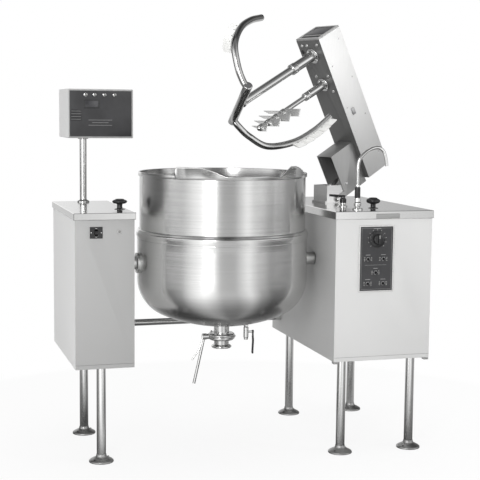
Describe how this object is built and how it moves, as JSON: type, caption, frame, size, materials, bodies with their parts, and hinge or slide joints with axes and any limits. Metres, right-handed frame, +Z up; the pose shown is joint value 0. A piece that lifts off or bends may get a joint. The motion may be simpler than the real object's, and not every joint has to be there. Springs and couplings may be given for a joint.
{
  "type": "steam jacketed kettle",
  "caption": "Tilting steam jacketed kettle on trunnions between two stainless consoles, with a lifting bridge that carries a scraping anchor and a paddle shaft.",
  "frame": {"origin": "on the floor, under the middle of the whole machine's outline with the kettle upright and the bridge raised", "axes": "+Z up, -Y to the front, where the kettle pours and the control panel faces, +X towards the console that carries the bridge"},
  "size_m": [1.6462, 1.067, 2.0149],
  "materials": {
    "stainless": "brushed",
    "polished_stainless": "polished",
    "chrome": "polished",
    "steel": "machined",
    "black_plastic": "satin",
    "white_nylon": "matte",
    "motor_paint": "satin",
    "belt_rubber": "matte"
  },
  "bodies": {
    "frame": {"left_cabinet": "stainless", "left_lid": "polished_stainless", "left_leg_front": "stainless", "left_leg_back": "stainless", "left_bearing": "steel", "tilt_motor": "motor_paint", "meter_pole": "stainless", "meter_housing": "stainless", "right_cabinet": "stainless", "right_lid": "polished_stainless", "right_leg_front_left": "stainless", "right_leg_front_right": "stainless", "right_leg_back_left": "stainless", "right_leg_back_right": "stainless", "right_bearing": "steel", "control_panel": "black_plastic", "faucet_body": "chrome", "pedestal": "stainless", "cross_tube": "stainless"},
    "kettle": {"kettle_bowl": "stainless", "kettle_jacket": "stainless", "pouring_lip": "polished_stainless", "left_trunnion": "steel", "right_trunnion": "steel", "worm_wheel": "steel", "draw_off_neck": "stainless", "draw_off_valve": "stainless", "drain_cock": "chrome"},
    "draw_off_lever": {"draw_off_handle": "stainless"},
    "drain_handle": {"drain_lever": "black_plastic"},
    "worm": {"tilt_worm": "steel"},
    "bridge": {"bridge_hood": "stainless", "bridge_housing": "stainless", "bridge_end_cap": "stainless", "main_sleeve": "stainless", "second_sleeve": "stainless", "drive_belt": "belt_rubber", "agitator_motor": "motor_paint"},
    "main_agitator": {"main_shaft": "polished_stainless", "anchor": "polished_stainless", "scraper_1": "white_nylon", "scraper_2": "white_nylon"},
    "second_agitator": {"second_shaft": "polished_stainless"},
    "lift_barrel": {"lift_cylinder": "stainless"},
    "lift_piston": {"lift_rod": "chrome"},
    "spout": {"faucet_spout": "chrome"},
    "water_lever": {"valve_lever": "black_plastic"},
    "dial": {"panel_dial": "black_plastic"},
    "left_turn_knob": {"left_knob": "black_plastic"},
    "right_turn_knob": {"right_knob": "black_plastic"},
    "tilt_rocker": {"tilt_switch": "black_plastic"},
    "toggle_body_1": {"toggle_1": "chrome"},
    "toggle_body_2": {"toggle_2": "chrome"},
    "toggle_body_3": {"toggle_3": "chrome"},
    "toggle_body_4": {"toggle_4": "chrome"},
    "toggle_body_5": {"toggle_5": "chrome"},
    "button_body_1": {"meter_button_1": "chrome"},
    "button_body_2": {"meter_button_2": "chrome"},
    "button_body_3": {"meter_button_3": "chrome"},
    "button_body_4": {"meter_button_4": "chrome"}
  },
  "joints": [
    {"name": "kettle_tilt", "type": "hinge", "parent": "frame", "child": "kettle", "pos_m": [-0.11512, -0.0735, 0.878], "axis": [1, 0, 0], "range_deg": [0, 90]},
    {"name": "worm_spin", "type": "hinge", "parent": "frame", "child": "worm", "pos_m": [-0.64512, -0.0735, 0.756], "axis": [0, 1, 0], "range_deg": [-3600, 0]},
    {"name": "bridge_lift", "type": "hinge", "parent": "frame", "child": "bridge", "pos_m": [0.50511, 0.17457, 1.138], "axis": [-0.3714, 0.9285, 0], "range_deg": [-62.1, 0]},
    {"name": "lift_barrel_swing", "type": "hinge", "parent": "frame", "child": "lift_barrel", "pos_m": [0.48004, 0.16455, 1.149], "axis": [-0.3714, 0.9285, 0], "range_deg": [-64.43, 0]},
    {"name": "lift_rod_slide", "type": "slide", "parent": "lift_barrel", "child": "lift_piston", "axis": [0.618, 0.2472, 0.7463], "range_m": [-0.0294, 0]},
    {"name": "agitator_spin", "type": "hinge", "parent": "bridge", "child": "main_agitator", "pos_m": [0.38475, 0.12643, 1.82522], "axis": [0.8206, 0.3282, 0.4679], "continuous": true},
    {"name": "second_spin", "type": "hinge", "parent": "bridge", "child": "second_agitator", "pos_m": [0.45078, 0.15284, 1.69089], "axis": [0.8206, 0.3282, 0.4679], "continuous": true},
    {"name": "draw_off_turn", "type": "hinge", "parent": "kettle", "child": "draw_off_lever", "pos_m": [-0.19712, -0.0735, 0.5275], "axis": [-1, 0, 0], "range_deg": [0, 90]},
    {"name": "drain_turn", "type": "hinge", "parent": "kettle", "child": "drain_handle", "pos_m": [0.03588, -0.0735, 0.541], "axis": [-1, 0, 0], "range_deg": [0, 90]},
    {"name": "faucet_swivel", "type": "hinge", "parent": "frame", "child": "spout", "pos_m": [0.46688, -0.2675, 1.2226], "axis": [0, 0, 1], "range_deg": [-30, 180]},
    {"name": "water_lever_turn", "type": "hinge", "parent": "frame", "child": "water_lever", "pos_m": [0.46388, -0.0975, 1.1203], "axis": [0, 0, 1], "range_deg": [0, 90]},
    {"name": "dial_turn", "type": "hinge", "parent": "frame", "child": "dial", "pos_m": [0.52588, -0.3691, 0.994], "axis": [0, -1, 0], "range_deg": [0, 270]},
    {"name": "left_knob_turn", "type": "hinge", "parent": "frame", "child": "left_turn_knob", "pos_m": [-0.58712, -0.0565, 1.1203], "axis": [0, 0, 1], "range_deg": [0, 90]},
    {"name": "right_knob_turn", "type": "hinge", "parent": "frame", "child": "right_turn_knob", "pos_m": [0.57188, -0.2025, 1.1203], "axis": [0, 0, 1], "range_deg": [0, 270]},
    {"name": "tilt_switch_rock", "type": "hinge", "parent": "frame", "child": "tilt_rocker", "pos_m": [-0.72612, -0.2505, 1.036], "axis": [1, 0, 0], "range_deg": [-20, 20], "stiffness_Nm_per_rad": 0.2},
    {"name": "toggle_flip_1", "type": "hinge", "parent": "frame", "child": "toggle_body_1", "pos_m": [0.48288, -0.3668, 0.904], "axis": [1, 0, 0], "range_deg": [-30, 0]},
    {"name": "toggle_flip_2", "type": "hinge", "parent": "frame", "child": "toggle_body_2", "pos_m": [0.55688, -0.3668, 0.904], "axis": [1, 0, 0], "range_deg": [-30, 0]},
    {"name": "toggle_flip_3", "type": "hinge", "parent": "frame", "child": "toggle_body_3", "pos_m": [0.51988, -0.3668, 0.843], "axis": [1, 0, 0], "range_deg": [-30, 0]},
    {"name": "toggle_flip_4", "type": "hinge", "parent": "frame", "child": "toggle_body_4", "pos_m": [0.48288, -0.3668, 0.793], "axis": [1, 0, 0], "range_deg": [-30, 0]},
    {"name": "toggle_flip_5", "type": "hinge", "parent": "frame", "child": "toggle_body_5", "pos_m": [0.55688, -0.3668, 0.793], "axis": [1, 0, 0], "range_deg": [-30, 0]},
    {"name": "button_press_1", "type": "slide", "parent": "frame", "child": "button_body_1", "axis": [0, 1, 0], "range_m": [0, 0.003], "stiffness_N_per_m": 300, "springref_m": -0.001},
    {"name": "button_press_2", "type": "slide", "parent": "frame", "child": "button_body_2", "axis": [0, 1, 0], "range_m": [0, 0.003], "stiffness_N_per_m": 300, "springref_m": -0.001},
    {"name": "button_press_3", "type": "slide", "parent": "frame", "child": "button_body_3", "axis": [0, 1, 0], "range_m": [0, 0.003], "stiffness_N_per_m": 300, "springref_m": -0.001},
    {"name": "button_press_4", "type": "slide", "parent": "frame", "child": "button_body_4", "axis": [0, 1, 0], "range_m": [0, 0.003], "stiffness_N_per_m": 300, "springref_m": -0.001}
  ],
  "couplings": [
    {"joint": "worm_spin", "follows": "kettle_tilt", "ratio": -40},
    {"joint": "lift_barrel_swing", "follows": "bridge_lift", "ratio": 1.0367},
    {"joint": "lift_rod_slide", "follows": "bridge_lift", "m_per_rad": 0.027083},
    {"joint": "second_spin", "follows": "agitator_spin", "ratio": 1.7188}
  ]
}
